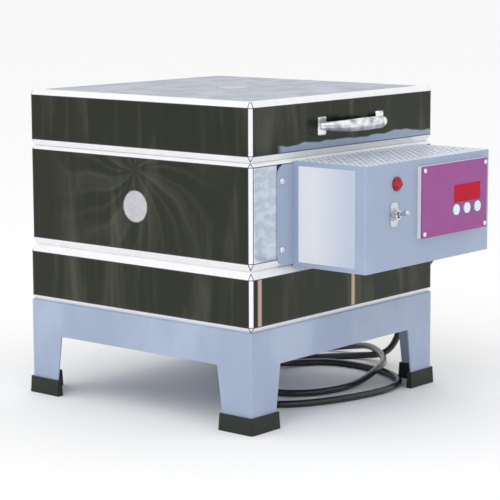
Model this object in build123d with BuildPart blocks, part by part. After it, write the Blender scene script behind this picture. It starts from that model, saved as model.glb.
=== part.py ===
from build123d import *
from math import cos, pi, radians, sin, tan
import os

# A small top-loading electric kiln on a sheet steel stand, in millimetres.
# The front, with the control box and the lid handle, faces -Y. The floor is z = 0.

# Firing chamber and brickwork
firing_width = 203.0
firing_depth = 114.3
brick_wall = 63.0
slab_height = 63.5
brick_gap = 0.15
jacket_sheet = 0.5
jacket_corner = 7.0
jacket_lip = 9.0
floor_overhang = 1.5
lid_gap = 0.3

# Sloped folds along the edges of the three jackets, each as inset and height
lid_top_fold = (2.5, 5.7)
lid_bottom_fold = (4.5, 6.9)
chamber_top_fold = (4.0, 3.6)
chamber_bottom_fold = (4.5, 8.6)
floor_top_fold = (4.2, 7.3)
floor_bottom_fold = (3.0, 4.9)

# Stand
deck_height = 109.0
deck_sheet = 1.0
stand_sheet = 1.6
stand_inset = 0.7
apron_depth = 38.7
apron_ledge = 24.0
apron_return = 6.0
leg_top_width = 48.0
leg_foot_width = 39.0
leg_bend = 3.0
boot_height = 18.5
boot_wall = 2.0
boot_sole = 3.0
boot_flare = 2.5
fit_gap = 0.2

# Heating elements and their grooves
groove_radius = 5.0
groove_inset = 7.5
groove_mouth = 9.4
coil_radius = 4.5
coil_corner = 10.0
element_shares = (0.3, 0.7)
tail_radius = 1.6
tail_spacing = 30.0
bushing_radius = 4.8
bushing_bore = 2.0
bushing_depth = 22.0
bushing_head_radius = 7.5
bushing_head = 4.0
terminal_radius = 4.0
terminal_length = 13.0

# Thermocouple
probe_radius = 3.2
probe_reach = 16.0
probe_across = 42.0
probe_block = (26.0, 15.0, 11.0)

# Peephole and lid vent, each a tapered plug in a tapered hole
peephole_mouth = 35.5
peephole_throat = 22.0
peephole_length = 50.0
peephole_rise = 57.0
vent_mouth = 37.0
vent_throat = 26.0
vent_length = 54.0
plug_gap = 0.35

# Control box
box_width = 232.0
box_height = 113.0
box_depth = 97.0
box_across = 20.0
box_below_seam = 0.6
box_sheet = 1.2
box_bend = 2.6
flange_width = 27.0
flange_height = 108.0
flange_corner = 12.0
flange_screw_edge = 7.0
flange_screw_pitch = 73.0
vent_columns = 17
vent_rows = 5
vent_pitch_across = 12.0
vent_pitch_deep = 13.0
vent_hole_radius = 2.4
intake_slots = 6
intake_pitch = 26.0
intake_length = 40.0
intake_width = 4.0

# Controller panel on the front of the box
panel_width = 126.0
panel_height = 77.5
panel_across = 59.2
panel_rise = 66.5
panel_frame = 4.5
panel_sheet = 1.5
panel_rim = 7.0
panel_corner = 1.0
panel_screw_inset = 4.5
window_width = 52.0
window_height = 19.5
window_offset = (23.8, 4.0)
window_sheet = 1.2
board_width = 104.0
board_height = 58.0
board_sheet = 1.6
board_gap = 3.6
button_radius = 6.0
button_stand = 1.4
button_travel = 0.8
button_flange = 0.8
button_offsets = (1.8, 22.8, 43.5)
button_drop = -13.5
button_gap = 0.3
tact_size = 6.0

# Pilot lamp and toggle switch
pilot_across = -42.7
pilot_rise = 90.5
pilot_radius = 7.7
pilot_stand = 6.5
pilot_facets = 12
switch_across = -47.5
switch_rise = 58.5
switch_plate_height = 26.0
switch_plate_width = 13.0
switch_plate_sheet = 0.9
switch_nut_flats = 13.0
switch_nut_height = 2.6
switch_bush_radius = 5.4
switch_bush_stand = 6.5
switch_body = (13.0, 21.0, 17.0)
switch_bore_radius = 3.5
lever_pivot = 3.0
lever_length = 17.5
lever_tilt = 13.0
lever_root_radius = 1.6
lever_tip_radius = 2.9

# Parts inside the control box
relay_size = (30.0, 34.0, 32.0)
relay_across = -62.0
transformer_size = (44.0, 34.0, 36.0)
transformer_across = 58.0
block_size = (22.0, 44.0, 18.0)
block_across = 108.0
inner_parts_out = 34.0
wire_radius = 1.5

# Lid handle
handle_across = -1.0
handle_rise = 32.0
handle_span = 104.0
handle_foot = (14.0, 20.0, 7.0)
handle_reach = 25.0
grip_neck = (4.2, 3.6)
grip_middle = (7.0, 4.8)

# Rear hinge
hinge_length = 180.0
hinge_sheet = 1.5
knuckle_radius = 5.5
pin_radius = 3.0
pin_gap = 0.05
knuckle_gap = 0.5
hinge_leaf = 26.0
hinge_above_seam = 1.6
stop_lug = 13.0
stop_sheet = 3.0
knuckle_shares = (0.0, 0.2, 0.4, 0.6, 0.8, 1.0)
hinge_screw_pitch = 66.0

# Fasteners
screw_radius = 1.6
screw_head_radius = 3.4
screw_head = 1.9
screw_length = 9.0
screw_gap = 0.15

# Supply cord
cord_radius = 4.1
strain_relief_length = 32.0
strain_relief_rise = 20.0
strain_relief_out = 26.0
strain_relief_root = 7.0
strain_relief_tip = 5.0
strain_relief_flange = (9.5, 2.5)
strain_relief_collar = (8.6, 7.0)
strain_relief_grooves = 4
plug_width = 25.0
plug_height = 22.0
plug_grip = 24.0
plug_neck = 12.0
plug_neck_radius = 7.0
blade_size = (1.5, 6.35, 17.5)
blade_spacing = 12.7
blade_offset = -4.0
earth_pin_radius = 2.4
earth_pin_length = 20.0
earth_pin_offset = 11.9

# Levels and half widths worked out from the sizes above
floor_bottom = deck_height + deck_sheet
floor_top = floor_bottom + slab_height
chamber_top = floor_top + firing_depth
lid_bottom = chamber_top + lid_gap
lid_top = lid_bottom + slab_height
half = firing_width / 2 + brick_wall + brick_gap + jacket_sheet
floor_half = half + floor_overhang
stand_half = half + stand_inset
box_bottom = floor_top - box_below_seam
box_front = half + box_depth
panel_front = box_front + panel_frame + panel_sheet
lever_arm = lever_length - lever_tip_radius
front_reach = box_front + lever_pivot + lever_arm * cos(radians(lever_tilt)) + lever_tip_radius
hinge_out = half + knuckle_radius
rear_reach = hinge_out + stop_lug
kiln_y = (front_reach - rear_reach) / 2
hinge_z = chamber_top + hinge_above_seam

os.makedirs("parts", exist_ok=True)



def level(z, turn=0.0):
    """Plane parallel to the floor with its origin on the kiln's upright axis, turned about it."""
    angle = radians(turn)
    across = Vector(round(cos(angle), 9), round(sin(angle), 9), 0)
    return Plane(origin=(0, kiln_y, z), x_dir=across, z_dir=(0, 0, 1))


def side(turn, out, across=0.0, z=0.0):
    """Plane facing outward on one side: turn 0 is the front, 90 the right, 180 the rear, 270 the left."""
    angle = radians(turn)
    outward = Vector(round(sin(angle), 9), round(-cos(angle), 9), 0)
    right = Vector(round(cos(angle), 9), round(sin(angle), 9), 0)
    origin = Vector(0, kiln_y, z) + outward * out + right * across
    return Plane(origin=origin, x_dir=right, z_dir=outward)


def section(turn, across=0.0):
    """Upright plane cutting across one side: its x runs outward, its y up and its normal to the left."""
    angle = radians(turn)
    outward = Vector(round(sin(angle), 9), round(-cos(angle), 9), 0)
    right = Vector(round(cos(angle), 9), round(sin(angle), 9), 0)
    return Plane(origin=Vector(0, kiln_y, 0) + right * across, x_dir=outward, z_dir=-right)


def keep(shape, label):
    """Label a finished piece and write it to its own file."""
    shape.label = label
    export_step(shape, f"parts/{label}.step")


def section_block(half_width, bottom, top, bottom_fold, top_fold):
    """Square block with bent corners and sloped edges above and below, the outside of one section."""
    with BuildPart() as block:
        with BuildSketch(level(bottom)):
            RectangleRounded(2 * half_width, 2 * half_width, jacket_corner)
        extrude(amount=top - bottom)
        upper = block.faces().sort_by(Axis.Z)[-1]
        chamfer(upper.edges(), length=top_fold[0], length2=top_fold[1], reference=upper)
        lower = block.faces().sort_by(Axis.Z)[0]
        chamfer(lower.edges(), length=bottom_fold[0], length2=bottom_fold[1], reference=lower)
    return block.part


def shrunk(block, inset):
    """The same block with every face moved in by inset."""
    with BuildPart() as smaller:
        add(block)
        offset(amount=-inset)
    return smaller.part


def lip_opening(half_width, fold):
    """Width of the square that the lips of a jacket leave open."""
    return 2 * (half_width - fold[0] - jacket_lip)


def folded_jacket(block, half_width, bottom, top, bottom_fold, top_fold):
    """Sheet band around a section, with lips folded over the brick above and below."""
    middle = (bottom + top) / 2
    with BuildPart() as band:
        add(block)
        add(shrunk(block, jacket_sheet), mode=Mode.SUBTRACT)
        for fold, amount in ((bottom_fold, bottom - middle), (top_fold, top - middle)):
            width = lip_opening(half_width, fold)
            with BuildSketch(level(middle)):
                RectangleRounded(width, width, jacket_corner)
            extrude(amount=amount, mode=Mode.SUBTRACT)
    return band.part


def brick_fill(block, half_width, bottom, top, bottom_fold, top_fold):
    """The brick inside a jacket: clear of the sheet, and level with the lips in their opening."""
    middle = (bottom + top) / 2
    with BuildPart() as fill:
        add(shrunk(block, jacket_sheet + brick_gap))
        for fold, amount in ((bottom_fold, bottom - middle), (top_fold, top - middle)):
            width = lip_opening(half_width, fold) - 2 * brick_gap
            with BuildSketch(level(middle)):
                RectangleRounded(width, width, jacket_corner)
            extrude(amount=amount)
    return fill.part


# Places that several pieces share
element_levels = [floor_top + share * firing_depth for share in element_shares]
probe_z = floor_top + firing_depth / 2
peephole_z = floor_top + peephole_rise
tail_spots = [(across, z) for z in element_levels for across in (-tail_spacing / 2, tail_spacing / 2)]
box_centre_z = box_bottom + box_height / 2
flange_screw_x = box_width / 2 + flange_width - flange_screw_edge
flange_screw_spots = [
    (box_across + way * flange_screw_x, box_centre_z + up * flange_screw_pitch / 2)
    for way in (-1, 1)
    for up in (-1, 1)
]
hinge_screw_across = (-hinge_screw_pitch, 0, hinge_screw_pitch)
hinge_screw_drop = knuckle_radius + hinge_leaf / 2
handle_z = lid_bottom + handle_rise
handle_spots = [(handle_across + way * handle_span / 2, handle_z) for way in (-1, 1)]
box_inside_floor = box_bottom + box_sheet
panel_z = box_bottom + panel_rise
panel_screw_spots = [
    (panel_across + way * (panel_width / 2 - panel_screw_inset), panel_z + up * (panel_height / 2 - panel_screw_inset))
    for way in (-1, 1)
    for up in (-1, 1)
]
button_spots = [(panel_across + across, panel_z + button_drop) for across in button_offsets]
window_spot = (panel_across + window_offset[0], panel_z + window_offset[1])
switch_spot = (switch_across, box_bottom + switch_rise)
pilot_spot = (pilot_across, box_bottom + pilot_rise)
strain_relief_spot = (-half - strain_relief_out, box_bottom + strain_relief_rise)

# Jackets: folded bands of polished sheet around the floor, the chamber and the lid
floor_block = section_block(floor_half, floor_bottom, floor_top, floor_bottom_fold, floor_top_fold)
chamber_block = section_block(half, floor_top, chamber_top, chamber_bottom_fold, chamber_top_fold)
lid_block = section_block(half, lid_bottom, lid_top, lid_bottom_fold, lid_top_fold)
peephole_mouth_radius = peephole_mouth / 2 + plug_gap
peephole_throat_radius = peephole_throat / 2 + plug_gap
vent_mouth_radius = vent_mouth / 2 + plug_gap
vent_throat_radius = vent_throat / 2 + plug_gap
screw_hole_radius = screw_radius + screw_gap

with BuildPart() as floor_jacket:
    add(folded_jacket(floor_block, floor_half, floor_bottom, floor_top, floor_bottom_fold, floor_top_fold))
keep(floor_jacket.part, "floor_jacket")

with BuildPart() as chamber_jacket:
    add(folded_jacket(chamber_block, half, floor_top, chamber_top, chamber_bottom_fold, chamber_top_fold))
    with BuildSketch(side(270, half, 0, peephole_z)):
        Circle(peephole_mouth_radius)
    extrude(amount=-2 * jacket_sheet, mode=Mode.SUBTRACT)
    with BuildSketch(side(0, half)):
        with Locations(*tail_spots):
            Circle(bushing_radius + fit_gap)
        with Locations((probe_across, probe_z)):
            Circle(probe_radius + fit_gap)
        with Locations(*flange_screw_spots):
            Circle(screw_hole_radius)
    extrude(amount=-2 * jacket_sheet, mode=Mode.SUBTRACT)
    with BuildSketch(side(180, half, 0, hinge_z - hinge_screw_drop)):
        with Locations(*[(across, 0) for across in hinge_screw_across]):
            Circle(screw_hole_radius)
    extrude(amount=-2 * jacket_sheet, mode=Mode.SUBTRACT)
keep(chamber_jacket.part, "chamber_jacket")

with BuildPart() as lid_jacket:
    add(folded_jacket(lid_block, half, lid_bottom, lid_top, lid_bottom_fold, lid_top_fold))
    with BuildSketch(side(0, half)):
        with Locations(*handle_spots):
            Circle(screw_hole_radius)
    extrude(amount=-2 * jacket_sheet, mode=Mode.SUBTRACT)
    with BuildSketch(side(180, half, 0, hinge_z + hinge_screw_drop)):
        with Locations(*[(across, 0) for across in hinge_screw_across]):
            Circle(screw_hole_radius)
    extrude(amount=-2 * jacket_sheet, mode=Mode.SUBTRACT)
keep(lid_jacket.part, "lid_jacket")

# Brick: floor slab, lid slab and four chamber walls laid in a pinwheel
chamber_fill = brick_fill(chamber_block, half, floor_top, chamber_top, chamber_bottom_fold, chamber_top_fold)
screw_pilot = half + box_sheet - screw_length - 1

with BuildPart() as floor_slab:
    add(brick_fill(floor_block, floor_half, floor_bottom, floor_top, floor_bottom_fold, floor_top_fold))
keep(floor_slab.part, "floor_slab")

with BuildPart() as lid_slab:
    add(brick_fill(lid_block, half, lid_bottom, lid_top, lid_bottom_fold, lid_top_fold))
    with BuildSketch(level(lid_top)):
        Circle(vent_mouth_radius)
    with BuildSketch(level(lid_top - vent_length)):
        Circle(vent_throat_radius)
    loft(mode=Mode.SUBTRACT)
    with BuildSketch(level(lid_bottom)):
        Circle(vent_throat_radius - 2 * plug_gap - 1)
    extrude(amount=slab_height, mode=Mode.SUBTRACT)
    with BuildSketch(side(0, half)):
        with Locations(*handle_spots):
            Circle(screw_head_radius + fit_gap)
    extrude(amount=-jacket_sheet - screw_head - brick_gap - fit_gap, mode=Mode.SUBTRACT)
    with BuildSketch(side(180, half, 0, hinge_z + hinge_screw_drop)):
        with Locations(*[(across, 0) for across in hinge_screw_across]):
            Circle(screw_hole_radius)
    extrude(amount=-screw_length, mode=Mode.SUBTRACT)
keep(lid_slab.part, "lid_slab")

wall_names = {0: "front", 90: "right", 180: "rear", 270: "left"}
inner_half = firing_width / 2
groove_line = inner_half + groove_inset


def wall_brick(turn):
    """One chamber wall, from the outer corner on its left to the inner corner on its right."""
    with BuildPart() as brick:
        with BuildSketch(level(floor_top, turn)):
            with Locations((-brick_wall / 2, -inner_half - brick_wall / 2)):
                Rectangle(firing_width + brick_wall, brick_wall)
        extrude(amount=firing_depth)
        add(chamber_fill, mode=Mode.INTERSECT)
        with BuildSketch(section(turn, inner_half)):
            with Locations(*[(groove_line, z) for z in element_levels]):
                Circle(groove_radius)
            with Locations(*[(groove_line - groove_inset / 2, z) for z in element_levels]):
                Rectangle(groove_inset, groove_mouth)
        extrude(amount=firing_width + groove_inset + groove_radius, mode=Mode.SUBTRACT)
        if turn == 0:
            with BuildSketch(side(0, half)):
                with Locations(*tail_spots):
                    Circle(tail_radius + 2 * fit_gap)
                with Locations((probe_across, probe_z)):
                    Circle(probe_radius + fit_gap)
            extrude(amount=-brick_wall - 1, mode=Mode.SUBTRACT)
            with BuildSketch(side(0, half)):
                with Locations(*tail_spots):
                    Circle(bushing_radius + fit_gap)
            extrude(amount=-bushing_depth - fit_gap, mode=Mode.SUBTRACT)
        if turn in (0, 90):
            with BuildSketch(side(0, half)):
                with Locations(*flange_screw_spots):
                    Circle(screw_hole_radius)
            extrude(amount=-screw_length, mode=Mode.SUBTRACT)
        if turn == 180:
            with BuildSketch(side(180, half, 0, hinge_z - hinge_screw_drop)):
                with Locations(*[(across, 0) for across in hinge_screw_across]):
                    Circle(screw_hole_radius)
            extrude(amount=-screw_length, mode=Mode.SUBTRACT)
        if turn == 270:
            with BuildSketch(side(270, half, 0, peephole_z)):
                Circle(peephole_mouth_radius)
            with BuildSketch(side(270, half - peephole_length, 0, peephole_z)):
                Circle(peephole_throat_radius)
            loft(mode=Mode.SUBTRACT)
            with BuildSketch(side(270, half, 0, peephole_z)):
                Circle(peephole_throat_radius - 2 * plug_gap - 1)
            extrude(amount=-brick_wall - 1, mode=Mode.SUBTRACT)
    return brick.part


for turn, name in wall_names.items():
    keep(wall_brick(turn), f"wall_brick_{name}")

# Tapered plugs of the peephole and the lid vent, level with the faces they close
plug_edge = 1.0

with BuildPart() as peephole_plug:
    with BuildSketch(side(270, half, 0, peephole_z)):
        Circle(peephole_mouth / 2)
    with BuildSketch(side(270, half - peephole_length + plug_gap, 0, peephole_z)):
        Circle(peephole_throat / 2)
    loft()
    chamfer(peephole_plug.edges().filter_by(GeomType.CIRCLE), length=plug_edge)
keep(peephole_plug.part, "peephole_plug")

with BuildPart() as vent_plug:
    with BuildSketch(level(lid_top)):
        Circle(vent_mouth / 2)
    with BuildSketch(level(lid_top - vent_length + plug_gap)):
        Circle(vent_throat / 2)
    loft()
    chamfer(vent_plug.edges().filter_by(GeomType.CIRCLE), length=plug_edge)
keep(vent_plug.part, "vent_plug")

# Heating elements: a coil round the chamber in each groove, its two tails led out through the front wall
coil_end = tail_spacing / 2 - tail_radius - 1
tail_end = half + bushing_head + terminal_length - 2


def element(z):
    """One element: its coiled wire as a tube of the coil's outer diameter, and its straight tails."""
    far = groove_line
    corners = [(far, -far), (far, far), (-far, far), (-far, -far)]
    with BuildPart() as wire:
        with BuildLine(level(z)):
            FilletPolyline((coil_end, -far), *corners, (-coil_end, -far), radius=coil_corner)
        with BuildSketch(Plane(origin=(coil_end, kiln_y - far, z), z_dir=(1, 0, 0))):
            Circle(coil_radius)
        sweep()
        with BuildSketch(side(0, far)):
            with Locations((-tail_spacing / 2, z), (tail_spacing / 2, z)):
                Circle(tail_radius)
        extrude(amount=tail_end - far)
    return wire.part


for name, z in zip(("lower", "upper"), element_levels):
    keep(element(z), f"{name}_element")

with BuildPart() as element_bushings:
    with BuildSketch(side(0, half - bushing_depth)):
        with Locations(*tail_spots):
            Circle(bushing_radius)
    extrude(amount=bushing_depth)
    with BuildSketch(side(0, half)):
        with Locations(*tail_spots):
            Circle(bushing_head_radius)
    extrude(amount=bushing_head)
    with BuildSketch(side(0, half - bushing_depth)):
        with Locations(*tail_spots):
            Circle(bushing_bore)
    extrude(amount=bushing_depth + bushing_head, mode=Mode.SUBTRACT)
keep(element_bushings.part, "element_bushings")

with BuildPart() as element_terminals:
    with BuildSketch(side(0, half + bushing_head)):
        with Locations(*tail_spots):
            Circle(terminal_radius)
    extrude(amount=terminal_length)
    with BuildSketch(side(0, half + bushing_head)):
        with Locations(*tail_spots):
            Circle(tail_radius + screw_gap)
    extrude(amount=terminal_length - 1.5, mode=Mode.SUBTRACT)
    for across, z in tail_spots:
        clamp = Plane(origin=(across, kiln_y - half - bushing_head - terminal_length / 2, z + terminal_radius))
        with BuildSketch(clamp.offset(-1)):
            Circle(2.2)
        extrude(amount=2.6)
keep(element_terminals.part, "element_terminals")

with BuildPart() as thermocouple:
    with BuildSketch(side(0, inner_half - probe_reach)):
        with Locations((probe_across, probe_z)):
            Circle(probe_radius)
    extrude(amount=half - inner_half + probe_reach)
    fillet(thermocouple.edges().filter_by(GeomType.CIRCLE).sort_by(Axis.Y)[-1], radius=probe_radius - 0.4)
    with BuildSketch(side(0, half)):
        with Locations((probe_across, probe_z)):
            RectangleRounded(probe_block[0], probe_block[1], 2)
    extrude(amount=probe_block[2])
keep(thermocouple.part, "thermocouple")

# Stand: four folded corner legs in rubber boots, an apron along each side and a deck plate on top
apron_bottom = deck_height - apron_depth
apron_half_length = stand_half - leg_top_width
boot_wing = leg_foot_width + (leg_top_width - leg_foot_width) * (boot_height - boot_sole) / (apron_bottom - boot_sole)
boot_grow = boot_height * tan(radians(boot_flare))
corner_names = {0: "front_right", 90: "rear_right", 180: "rear_left", 270: "front_left"}


def leg_wing(turn, way):
    """One wing of a leg: full width beside the apron, then tapering to the foot."""
    with BuildSketch(side(turn, stand_half)) as wing:
        with BuildLine():
            Polyline(
                (way * stand_half, boot_sole + fit_gap),
                (way * stand_half, deck_height),
                (way * apron_half_length, deck_height),
                (way * apron_half_length, apron_bottom),
                (way * (stand_half - leg_foot_width), boot_sole + fit_gap),
                close=True,
            )
        make_face()
    return wing.sketch


def stand_leg(turn):
    """Angle leg at the right end of the side at turn."""
    with BuildPart() as leg:
        extrude(leg_wing(turn, 1), amount=-stand_sheet)
        extrude(leg_wing(turn + 90, -1), amount=-stand_sheet)
        corner = side(turn, stand_half, stand_half, deck_height / 2).origin
        uprights = leg.edges().filter_by(Axis.Z).sort_by(lambda edge: (edge.center() - corner).length)
        fillet(uprights[0], radius=leg_bend)
        inner = side(turn, stand_half - stand_sheet, stand_half - stand_sheet, deck_height / 2).origin
        uprights = leg.edges().filter_by(Axis.Z).sort_by(lambda edge: (edge.center() - inner).length)
        fillet(uprights[0], radius=leg_bend - stand_sheet)
    return leg.part


def apron(turn):
    """Channel along one side, with a ledge that carries the deck and a narrow return below."""
    face = stand_half
    ledge = stand_half - apron_ledge
    lip = stand_half - apron_return
    with BuildPart() as channel:
        with BuildSketch(section(turn, apron_half_length)):
            with BuildLine():
                Polyline(
                    (face, apron_bottom),
                    (face, deck_height),
                    (ledge, deck_height),
                    (ledge, deck_height - stand_sheet),
                    (face - stand_sheet, deck_height - stand_sheet),
                    (face - stand_sheet, apron_bottom + stand_sheet),
                    (lip, apron_bottom + stand_sheet),
                    (lip, apron_bottom),
                    close=True,
                )
            make_face()
        extrude(amount=2 * apron_half_length)
    return channel.part


def boot_outline(turn, z, wing, grow, thickness):
    """Angle outline around a leg's foot, seen from above."""
    outer = stand_half + grow
    inner = stand_half - thickness - grow
    end = stand_half - wing - grow
    with BuildSketch(level(z, turn)) as outline:
        with BuildLine():
            Polyline(
                (outer, -outer), (outer, -end), (inner, -end), (inner, -inner), (end, -inner), (end, -outer), close=True
            )
        make_face()
    return outline.sketch


def leg_boot(turn):
    """Moulded rubber boot with a sole under the leg, slightly wider at the floor."""
    with BuildPart() as boot:
        extrude(
            boot_outline(turn, 0, boot_wing, fit_gap + boot_wall + boot_grow, stand_sheet),
            amount=boot_height,
            taper=boot_flare,
        )
        corner = side(turn, stand_half, stand_half, boot_height / 2).origin
        uprights = boot.edges().filter_by(GeomType.LINE).sort_by(lambda edge: (edge.center() - corner).length)
        fillet(uprights[0], radius=leg_bend)
        extrude(
            boot_outline(turn, boot_sole, boot_wing, fit_gap, stand_sheet), amount=boot_height, mode=Mode.SUBTRACT
        )
        pocket = stand_half - stand_sheet - fit_gap
        corner = side(turn, pocket, pocket, (boot_sole + boot_height) / 2).origin
        uprights = boot.edges().filter_by(GeomType.LINE).sort_by(lambda edge: (edge.center() - corner).length)
        fillet(uprights[0], radius=leg_bend - stand_sheet)
    return boot.part


for turn, name in corner_names.items():
    keep(stand_leg(turn), f"stand_leg_{name}")
    keep(leg_boot(turn), f"leg_boot_{name}")

for turn, name in wall_names.items():
    keep(apron(turn), f"stand_apron_{name}")

with BuildPart() as deck_plate:
    with BuildSketch(level(deck_height)):
        RectangleRounded(2 * stand_half - 2, 2 * stand_half - 2, leg_bend)
    extrude(amount=deck_sheet)
keep(deck_plate.part, "deck_plate")

# Control box: one folded cover with flanges that lie on the chamber jacket
panel_opening = (panel_width - 2 * panel_rim, panel_height - 2 * panel_rim)
bush_hole_radius = switch_bush_radius + fit_gap
pilot_body_radius = pilot_radius - 2.2
strain_relief_hole = cord_radius + 3.2

with BuildPart() as control_box:
    with BuildSketch(side(0, half, box_across, box_centre_z)):
        Rectangle(box_width, box_height)
    extrude(amount=box_depth)
    front_bends = control_box.edges().filter_by(Axis.Z).group_by(Axis.Y)[0]
    fillet(front_bends, radius=box_bend)
    offset(amount=-box_sheet, openings=control_box.faces().sort_by(Axis.Y)[-1])
    with BuildSketch(side(0, half, box_across, box_centre_z)):
        RectangleRounded(box_width + 2 * flange_width, flange_height, flange_corner)
        Rectangle(box_width - 2 * box_sheet, box_height, mode=Mode.SUBTRACT)
    extrude(amount=box_sheet)
    with BuildSketch(level(box_bottom + box_height)):
        with Locations((box_across, -half - box_depth / 2)):
            with GridLocations(vent_pitch_across, vent_pitch_deep, vent_columns, vent_rows):
                Circle(vent_hole_radius)
    extrude(amount=-2 * box_sheet, mode=Mode.SUBTRACT)
    with BuildSketch(level(box_bottom)):
        with Locations((box_across, -box_front + intake_length)):
            with GridLocations(intake_pitch, 1, intake_slots, 1):
                SlotOverall(intake_length, intake_width, rotation=90)
    extrude(amount=2 * box_sheet, mode=Mode.SUBTRACT)
    with BuildSketch(side(0, half)):
        with Locations(*flange_screw_spots):
            Circle(screw_hole_radius)
    extrude(amount=2 * box_sheet, mode=Mode.SUBTRACT)
    with BuildSketch(side(0, box_front)):
        with Locations((panel_across, panel_z)):
            Rectangle(*panel_opening)
        with Locations(*panel_screw_spots):
            Circle(screw_hole_radius)
        with Locations(switch_spot):
            Circle(bush_hole_radius)
        with Locations(pilot_spot):
            Circle(pilot_body_radius + fit_gap)
    extrude(amount=-2 * box_sheet, mode=Mode.SUBTRACT)
    with BuildSketch(side(90, box_across + box_width / 2)):
        with Locations(strain_relief_spot):
            Circle(strain_relief_hole)
    extrude(amount=-2 * box_sheet, mode=Mode.SUBTRACT)
keep(control_box.part, "control_box")


def screws(plane, spots, length, head_radius=screw_head_radius, head=screw_head):
    """Group of like round-headed screws whose heads stand on plane."""
    with BuildPart() as group:
        with BuildSketch(plane):
            with Locations(*spots):
                Circle(head_radius)
        extrude(amount=head)
        rims = group.edges().filter_by(GeomType.CIRCLE).sort_by(lambda edge: plane.to_local_coords(edge.center()).Z)
        fillet(rims[-len(spots):], radius=0.6 * head)
        with BuildSketch(plane):
            with Locations(*spots):
                Circle(screw_radius)
        extrude(amount=-length)
    return group.part


keep(screws(side(0, half + box_sheet), flange_screw_spots, screw_length - 1), "box_screws")
chamber_hinge_spots = [(across, hinge_z - hinge_screw_drop) for across in hinge_screw_across]
lid_hinge_spots = [(across, hinge_z + hinge_screw_drop) for across in hinge_screw_across]
keep(screws(side(180, half + hinge_sheet), chamber_hinge_spots, screw_length - 1), "chamber_hinge_screws")
keep(screws(side(180, half + hinge_sheet), lid_hinge_spots, screw_length - 1), "lid_hinge_screws")

# Controller panel: a raised frame, a face plate, its window and buttons, and the circuit board behind
panel_back = box_front + panel_frame
board_front = panel_back - board_gap
button_back = panel_back - button_gap - button_flange
tact_top = button_back - button_travel - button_gap
board_post_spots = [
    (panel_across + way * (board_width / 2 - 4), panel_z + up * (board_height / 2 - 4)) for way in (-1, 1) for up in (-1, 1)
]
panel_screw_head = 2.6

with BuildPart() as panel_frame_piece:
    with BuildSketch(side(0, box_front)):
        with Locations((panel_across, panel_z)):
            RectangleRounded(panel_width, panel_height, panel_corner)
            Rectangle(*panel_opening, mode=Mode.SUBTRACT)
        with Locations(*panel_screw_spots):
            Circle(screw_hole_radius, mode=Mode.SUBTRACT)
    extrude(amount=panel_frame)
keep(panel_frame_piece.part, "panel_frame")

with BuildPart() as panel_plate:
    with BuildSketch(side(0, panel_back)):
        with Locations((panel_across, panel_z)):
            RectangleRounded(panel_width, panel_height, panel_corner)
        with Locations(*panel_screw_spots):
            Circle(screw_hole_radius, mode=Mode.SUBTRACT)
        with Locations(*button_spots):
            Circle(button_radius + button_gap, mode=Mode.SUBTRACT)
        with Locations(window_spot):
            Rectangle(window_width, window_height, mode=Mode.SUBTRACT)
    extrude(amount=panel_sheet)
keep(panel_plate.part, "panel_plate")
keep(screws(side(0, panel_front), panel_screw_spots, screw_length, panel_screw_head, 1.5), "panel_screws")

with BuildPart() as display_window:
    with BuildSketch(side(0, panel_front - window_sheet)):
        with Locations(window_spot):
            Rectangle(window_width - fit_gap, window_height - fit_gap)
    extrude(amount=window_sheet)
keep(display_window.part, "display_window")

with BuildPart() as control_board:
    with BuildSketch(side(0, board_front)):
        with Locations((panel_across, panel_z)):
            Rectangle(board_width, board_height)
    extrude(amount=-board_sheet)
    with BuildSketch(side(0, board_front)):
        with Locations(*board_post_spots):
            Circle(2.2)
    extrude(amount=board_gap)
    with BuildSketch(side(0, board_front)):
        with Locations(*button_spots):
            RectangleRounded(tact_size, tact_size, 0.6)
    extrude(amount=tact_top - board_front)
    with BuildSketch(side(0, board_front)):
        with Locations(window_spot):
            Rectangle(window_width - 4, window_height - 2)
    extrude(amount=panel_front - window_sheet - board_front - fit_gap)
keep(control_board.part, "control_board")


def button(spot):
    """Round key that stands through the face plate and is held behind it by a flange."""
    with BuildPart() as key:
        with BuildSketch(side(0, button_back)):
            with Locations(spot):
                Circle(button_radius + 1)
        extrude(amount=button_flange)
        with BuildSketch(side(0, button_back + button_flange)):
            with Locations(spot):
                Circle(button_radius)
        extrude(amount=panel_front + button_stand - button_back - button_flange)
        fillet(key.edges().filter_by(GeomType.CIRCLE).sort_by(Axis.Y)[0], radius=0.6)
    return key.part


for name, spot in zip(("left", "middle", "right"), button_spots):
    keep(button(spot), f"button_{name}")

# Pilot lamp: a faceted jewel lens in front of the panel and its lamp body behind
lens_collar = 1.6
lens_waist = 3.2

with BuildPart() as pilot_lens:
    with BuildSketch(side(0, box_front, *pilot_spot)):
        Circle(pilot_radius)
    extrude(amount=lens_collar)
    with BuildSketch(side(0, box_front + lens_collar, *pilot_spot)):
        RegularPolygon(pilot_radius - 0.2, pilot_facets)
    with BuildSketch(side(0, box_front + lens_waist, *pilot_spot)):
        RegularPolygon(pilot_radius - 1.2, pilot_facets, rotation=180 / pilot_facets)
    with BuildSketch(side(0, box_front + pilot_stand, *pilot_spot)):
        RegularPolygon(pilot_radius - 5.2, pilot_facets)
    loft(ruled=True)
keep(pilot_lens.part, "pilot_lens")

with BuildPart() as pilot_body:
    with BuildSketch(side(0, box_front, *pilot_spot)):
        Circle(pilot_body_radius)
    extrude(amount=-24)
    with BuildSketch(side(0, box_front - box_sheet, *pilot_spot)):
        RegularPolygon(pilot_radius, 6)
    extrude(amount=-2.5)
keep(pilot_body.part, "pilot_body")

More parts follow.
